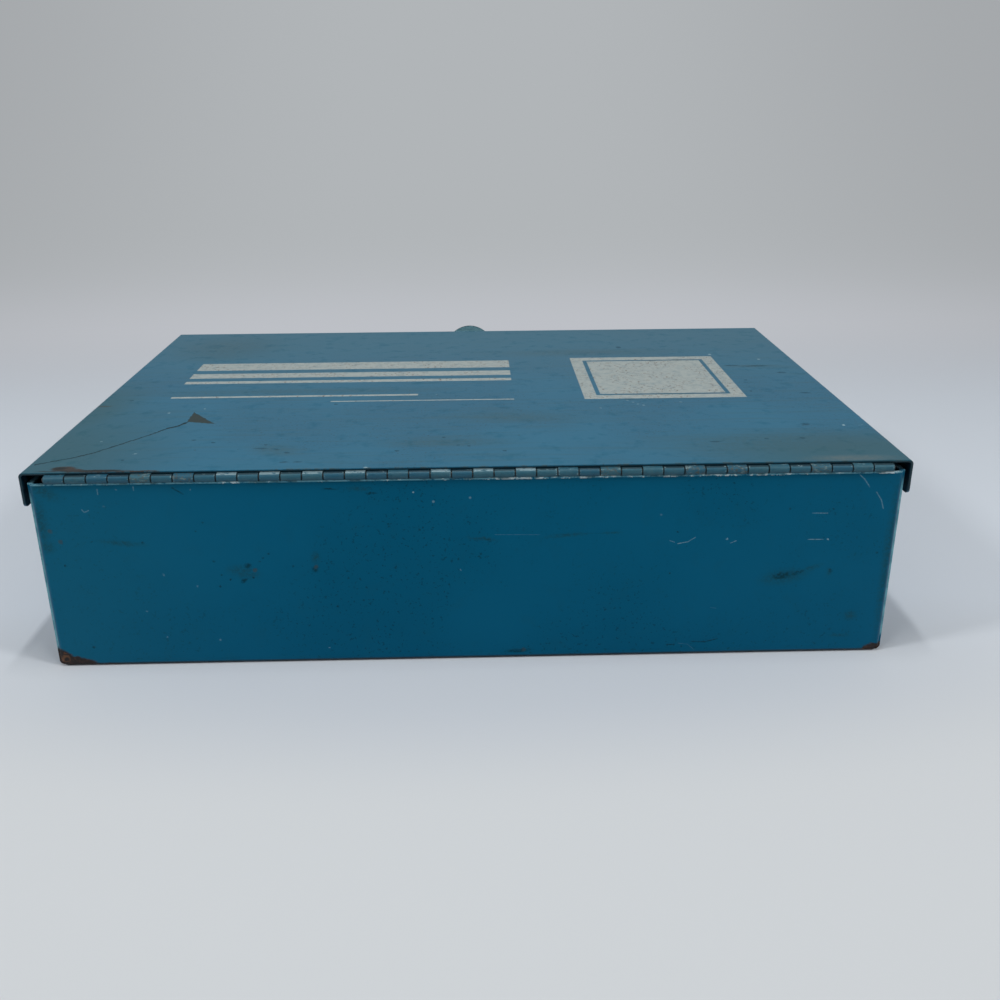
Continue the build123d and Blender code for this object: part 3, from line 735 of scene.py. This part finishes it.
def bare_steel(name, light, dark, rust_share):
    """Drawn or turned steel that has dulled, with rust in its low places."""
    material, tree, place = start_material(name)
    cloud = noise(tree, place, 4, 4, 0.6)
    colour = over(tree, dark, light, fade(tree, cloud, 0.35, 0.65))
    rust = use(tree, RUST, {"Place": place, "Bloom": 0.6})
    rusty = fade(tree, noise(tree, place, 3, 4, 0.65), 0.75 - rust_share, 0.82 - rust_share)
    colour = over(tree, colour, rust["Colour"], rusty)
    roughness = calc(tree, "MULTIPLY_ADD", rusty, 0.35, calc(tree, "MULTIPLY_ADD", cloud, 0.2, 0.3))
    height = product(tree, calc(tree, "ADD", rust["Height"], cloud), 0.02)
    end_material(tree, colour, roughness, height, calc(tree, "MULTIPLY_ADD", rusty, -0.9, 0.9))
    return material


WIRE = bare_steel("steel_wire", WIRE_LIGHT, WIRE_DARK, 0.25)
paint("hinge_pin", WIRE)
paint("latch_pin", WIRE)

# Rubber strips
# Three strips of black rubber, cemented to the underside of the lid. They have hardened and gone
# grey.
RUBBER_BLACK = (24, 24, 25)
RUBBER_BLOOM = (52, 50, 47)
RUBBER_CRACK = (12, 12, 12)


def rubber():
    """Hardened black rubber with a pale bloom and fine cracks."""
    material, tree, place = start_material("gasket_rubber")
    cloud = noise(tree, place, 12, 4, 0.6)
    colour = over(tree, RUBBER_BLACK, RUBBER_BLOOM, fade(tree, cloud, 0.35, 0.7))
    inputs = {"Vector": place, "Scale": 0.5}
    cells = add(tree, "TexVoronoi", inputs, feature="DISTANCE_TO_EDGE")
    crack = fade(tree, cells.outputs["Distance"], 0.05, 0.0)
    colour = over(tree, colour, RUBBER_CRACK, product(tree, crack, 0.6))
    grain = noise(tree, place, 0.7, 3)
    height = calc(tree, "MULTIPLY_ADD", crack, -0.08, product(tree, grain, 0.04))
    end_material(tree, colour, calc(tree, "MULTIPLY_ADD", cloud, 0.2, 0.6), height)
    return material


RUBBER = rubber()
for name in ("gasket_front", "gasket_left", "gasket_right"):
    paint(name, RUBBER)

# Latch
# A bracket riveted to the front wall, a sheet hasp on its pin, and a ribbed keeper riveted to the
# lid's front flange. All are enamelled with the box. The hasp's corrugation is rubbed on its outside.
LATCH_DEEP = (14, 62, 80)
LATCH_LIGHT = (28, 74, 90)
LATCH_RUBBED = (112, 132, 136)
TAB_SHADE = (4, 34, 46)
RIVET_LIGHT = (142, 146, 146)
RIVET_DARK = (96, 102, 104)
LATCH_GLOSS_TINT = [0.5, 0.9, 1.0, 1.0]
TAB_FOOT = 78  # height at which the finger tab starts to lean
CORRUGATION_WEAR = (121.9, 122.6)  # y with noise added to it, from whole enamel to rubbed


def latch_enamel():
    """Enamel rubbed thin on the corrugation, and down to grey steel in a few places."""
    material, tree, place = start_material("latch_enamel")
    _, y, z = add(tree, "SeparateXYZ", {0: place}).outputs
    inputs = {"Place": place, "Deep": srgb(LATCH_DEEP), "Light": srgb(LATCH_LIGHT), "Scuffs": 0.4}
    enamel = use(tree, ENAMEL, inputs)
    wear = noise(tree, place, 2.5, 4, 0.65)
    proud = fade(tree, calc(tree, "MULTIPLY_ADD", wear, 1.6, y), *CORRUGATION_WEAR)
    proud = product(tree, proud, fade(tree, z, TAB_FOOT + 1, TAB_FOOT))
    colour = over(tree, enamel["Colour"], LATCH_RUBBED, product(tree, proud, 0.6))
    on_tab = fade(tree, z, LID_TOP - 1.1, LID_TOP - 0.3)
    colour = over(tree, colour, TAB_SHADE, product(tree, on_tab, 0.6))
    rust = use(tree, RUST, {"Place": place, "Bloom": 0.5})
    rusty = fade(tree, noise(tree, place, 5, 5, 0.7), 0.64, 0.7)
    rusty = product(tree, rusty, fade(tree, z, TAB_FOOT + 2, TAB_FOOT))
    colour = over(tree, colour, rust["Colour"], product(tree, rusty, 0.8))
    roughness = calc(tree, "MULTIPLY_ADD", rusty, 0.3, calc(tree, "ADD", enamel["Dull"], 0.32))
    height = calc(tree, "MULTIPLY_ADD", rusty, -0.04, enamel["Height"])
    end_material(tree, colour, roughness, height, specular_tint=LATCH_GLOSS_TINT)
    return material


LATCH_ENAMEL = latch_enamel()
for name in ("latch_bracket", "latch_hasp", "lid_keeper"):
    paint(name, LATCH_ENAMEL)

RIVETS = bare_steel("rivet_steel", RIVET_LIGHT, RIVET_DARK, 0.12)
for name in ("bracket_rivets", "keeper_rivets"):
    paint(name, RIVETS)

# Studio
# A pale seamless sheet under and behind the box, an even sky of soft light, a narrow lamp right
# above the box and one lamp on each side. None of it is part of the object.
FLOOR_GREY = (210, 214, 217)
FLOOR_BLUE = (213, 220, 228)
FLOOR_SHADOW_GREY = (198, 204, 211)
REAR_GREY = (189, 192, 198)
BACKDROP_GREY = (177, 181, 184)
SIDE_SHADE_GREY = (160, 163, 166)
SHEET_LEVEL = -0.0001  # a hair below the base, so that the two faces don't lie in one plane
SHEET_HALF_WIDTH = 4.0
SHEET_FRONT = -4.0
SHEET_BACK = 1.6
COVE_RADIUS = 0.9
SHEET_TOP = 3.0
SKY_LEVEL = 0.36
LAMPS = {
    "overhead_lamp": ((-0.01, -0.18, 0.80), (0.03, 0.30), 1.7),
    "right_lamp": ((0.84, -0.57, 0.95), (0.20, 0.20), 4.6),
    "left_lamp": ((-0.89, -0.44, 0.95), (0.20, 0.20), 4.6),
}


def seamless_sheet():
    """Flat floor, a quarter-round cove and an upright back, all one sheet."""
    mesh = bmesh.new()
    line = [mesh.verts.new((0, SHEET_FRONT, 0)), mesh.verts.new((0, SHEET_BACK - COVE_RADIUS, 0))]
    mesh.edges.new(line)
    centre = (0, SHEET_BACK - COVE_RADIUS, COVE_RADIUS)
    spun = bmesh.ops.spin(
        mesh, geom=[line[1]], cent=centre, axis=(1, 0, 0), angle=math.pi / 2, steps=24, use_duplicate=False
    )
    last = [part for part in spun["geom_last"] if isinstance(part, bmesh.types.BMVert)][0]
    mesh.edges.new((last, mesh.verts.new((0, SHEET_BACK, SHEET_TOP))))
    bmesh.ops.translate(mesh, verts=mesh.verts, vec=(-SHEET_HALF_WIDTH, 0, SHEET_LEVEL))
    swept = bmesh.ops.extrude_edge_only(mesh, edges=mesh.edges)
    moved = [part for part in swept["geom"] if isinstance(part, bmesh.types.BMVert)]
    bmesh.ops.translate(mesh, verts=moved, vec=(2 * SHEET_HALF_WIDTH, 0, 0))
    bmesh.ops.recalc_face_normals(mesh, faces=mesh.faces)
    data = bpy.data.meshes.new("seamless_sheet")
    mesh.to_mesh(data)
    mesh.free()
    data.shade_smooth()
    sheet = bpy.data.objects.new("seamless_sheet", data)
    bpy.context.scene.collection.objects.link(sheet)
    return sheet


def seen_directly(tree):
    """1 for rays that show the background itself, and for its image in gloss and glass."""
    path = add(tree, "LightPath").outputs
    return largest(tree, path["Is Camera Ray"], path["Is Glossy Ray"], path["Is Transmission Ray"])


def sheet_paper():
    """Matt pale paper with the box's shadow, more painted in front, and a painted grey glow further back."""
    material, tree, place = start_material("pale_paper")
    x, y, _ = add(tree, "SeparateXYZ", {0: place}).outputs
    floor = over(tree, FLOOR_GREY, FLOOR_BLUE, fade(tree, y, -170, -60))
    # Painted shadow: a wide soft oval of darker floor just in front of the box.
    floor = over(tree, floor, FLOOR_SHADOW_GREY, spots(tree, place, 0.6, [(0, -125, 200, 55, 0)]))
    paper = add(tree, "BsdfDiffuse", {"Color": floor})
    # Painted light: the sheet glows to the camera further back and far off, with painted shade to the sides.
    tone = over(tree, REAR_GREY, BACKDROP_GREY, fade(tree, y, 450, 1000))
    aside = calc(tree, "ABSOLUTE", x)
    tone = over(tree, tone, SIDE_SHADE_GREY, product(tree, fade(tree, aside, 120, 900), 0.7))
    far_off = largest(tree, fade(tree, y, -900, -1800), fade(tree, aside, 1000, 1900))
    tone = over(tree, tone, BACKDROP_GREY, far_off)
    plain = add(tree, "Emission", {"Color": tone, "Strength": 1.0})
    share = product(tree, largest(tree, fade(tree, y, 200, 520), far_off), seen_directly(tree))
    mixed = add(tree, "MixShader", {0: share, 1: paper.outputs[0], 2: plain.outputs[0]})
    add(tree, "OutputMaterial", {"Surface": mixed.outputs[0]})
    return material


sheet = seamless_sheet()
sheet.data.materials.append(sheet_paper())

world = bpy.data.worlds.new("soft_sky")
world.use_nodes = True
world.node_tree.nodes.clear()
sky_light = [SKY_LEVEL, SKY_LEVEL, SKY_LEVEL, 1.0]
sky = {0: seen_directly(world.node_tree), 6: sky_light, 7: srgb(BACKDROP_GREY)}
sky = add(world.node_tree, "Mix", sky, data_type="RGBA").outputs[2]
background = add(world.node_tree, "Background", {"Color": sky})
add(world.node_tree, "OutputWorld", {"Surface": background.outputs[0]})
bpy.context.scene.world = world

for name, (where, size, watts) in LAMPS.items():
    lamp_data = bpy.data.lights.new(name, "AREA")
    lamp_data.shape = "RECTANGLE"
    lamp_data.size, lamp_data.size_y = size
    lamp_data.energy = watts
    lamp = bpy.data.objects.new(name, lamp_data)
    lamp.location = where
    lamp.rotation_euler = (-lamp.location).to_track_quat("-Z", "Y").to_euler()
    bpy.context.scene.collection.objects.link(lamp)

# Camera
# Placed by the box's own corners in the photograph: close to its hinge wall and looking down at it.
CAMERA_PLACE = (0.00137, -0.48222, 0.21345)
CAMERA_PITCH = -21.625
CAMERA_ROLL = 0.351
CAMERA_YAW = -1.496
LENS = 37.553

camera_data = bpy.data.cameras.new("camera")
camera_data.lens = LENS
camera_data.sensor_width = 36
camera_data.clip_start = 0.01
camera = bpy.data.objects.new("camera", camera_data)
turn = Matrix.Rotation(math.radians(CAMERA_YAW), 4, "Z")
turn = turn @ Matrix.Rotation(math.radians(90 + CAMERA_PITCH), 4, "X")
turn = turn @ Matrix.Rotation(math.radians(-CAMERA_ROLL), 4, "Z")
camera.matrix_world = Matrix.Translation(CAMERA_PLACE) @ turn
bpy.context.scene.collection.objects.link(camera)
bpy.context.scene.camera = camera
bpy.context.scene.view_settings.view_transform = "Standard"
